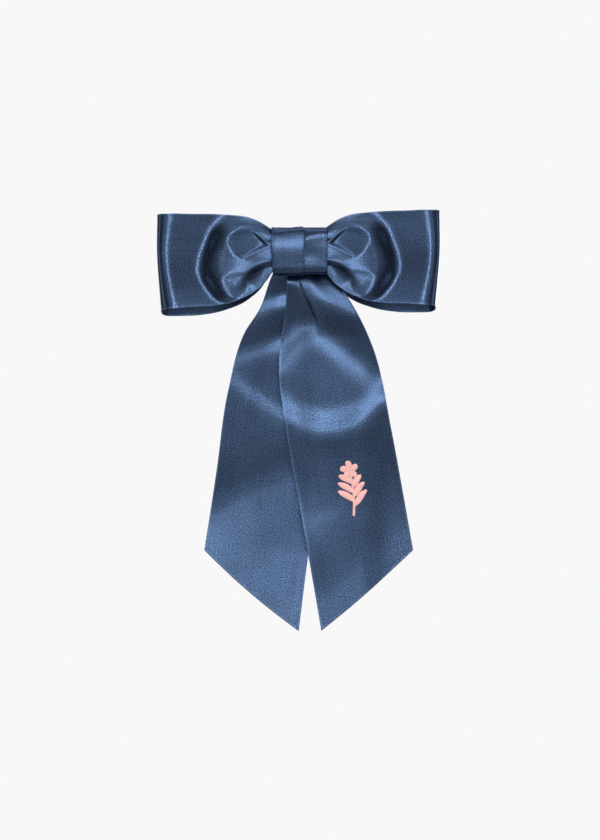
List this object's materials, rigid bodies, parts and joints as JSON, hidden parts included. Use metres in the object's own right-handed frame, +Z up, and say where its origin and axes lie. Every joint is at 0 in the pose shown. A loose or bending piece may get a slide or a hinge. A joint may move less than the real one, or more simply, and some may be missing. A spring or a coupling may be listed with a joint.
{
  "type": "hair bow barrette",
  "caption": "Ribbon hair bow with two hollow loops, a wide knot band and two long slant-cut tails, on a sprung barrette clip.",
  "frame": {"origin": "middle of the gap that grips the hair, between the closed clip arm and the tension leaf, behind the middle of the knot", "axes": "+Z up when worn, the bow's longest side; +Y out of the back of the clip, the way the hair leaves it when it opens; -Y out of the bow's front; +X to the viewer's right"},
  "size_m": [0.1372, 0.0323, 0.206],
  "materials": {
    "navy_satin": "satin weave",
    "navy_thread": "twisted thread",
    "pink_thread": "embroidery satin stitch",
    "navy_felt": "felt",
    "nickel_plate": "nickel plated sheet",
    "pin_steel": "drawn wire",
    "spring_steel": "rolled spring strip"
  },
  "bodies": {
    "bow_and_plate": {"loop_ribbon": "navy_satin", "knot_band": "navy_satin", "gathering_thread": "navy_thread", "band_seam_stitches": "navy_thread", "left_tail_head": "navy_satin", "right_tail_head": "navy_satin", "felt_pad": "navy_felt", "mounting_stitches": "navy_thread", "base_plate": "nickel_plate", "hinge_pin": "pin_steel", "catch_bracket": "nickel_plate", "catch_rivet": "pin_steel"},
    "clip_arm": {"clip_arm": "nickel_plate"},
    "tension_leaf": {"tension_leaf": "spring_steel"},
    "catch_ear_upper": {"catch_ear_upper": "spring_steel"},
    "catch_ear_lower": {"catch_ear_lower": "spring_steel"},
    "left_tail": {"left_tail": "navy_satin"},
    "right_tail": {"right_tail": "navy_satin", "embroidered_sprig": "pink_thread"}
  },
  "joints": [
    {"name": "clip_arm_hinge", "type": "hinge", "parent": "bow_and_plate", "child": "clip_arm", "pos_m": [-0.0375, 0.0046, 0], "axis": [0, 0, 1], "range_deg": [0, 75]},
    {"name": "tension_leaf_flex", "type": "hinge", "parent": "bow_and_plate", "child": "tension_leaf", "pos_m": [-0.0375, 0.0046, 0], "axis": [0, 0, -1], "range_deg": [0, 1.2], "stiffness_Nm_per_rad": 1.5},
    {"name": "catch_ear_upper_squeeze", "type": "hinge", "parent": "bow_and_plate", "child": "catch_ear_upper", "pos_m": [0.03739, -0.00232, 0.0026], "axis": [-0.9895, -0.1442, 0], "range_deg": [0, 6], "stiffness_Nm_per_rad": 0.2},
    {"name": "catch_ear_lower_squeeze", "type": "hinge", "parent": "bow_and_plate", "child": "catch_ear_lower", "pos_m": [0.03739, -0.00232, -0.0026], "axis": [0.9895, 0.1442, 0], "range_deg": [0, 6], "stiffness_Nm_per_rad": 0.2},
    {"name": "left_tail_swing", "type": "hinge", "parent": "bow_and_plate", "child": "left_tail", "pos_m": [0, -0.0087, -0.024], "axis": [1, 0, 0], "range_deg": [0, 30]},
    {"name": "right_tail_swing", "type": "hinge", "parent": "bow_and_plate", "child": "right_tail", "pos_m": [0, -0.0103, -0.024], "axis": [-1, 0, 0], "range_deg": [0, 60]}
  ]
}
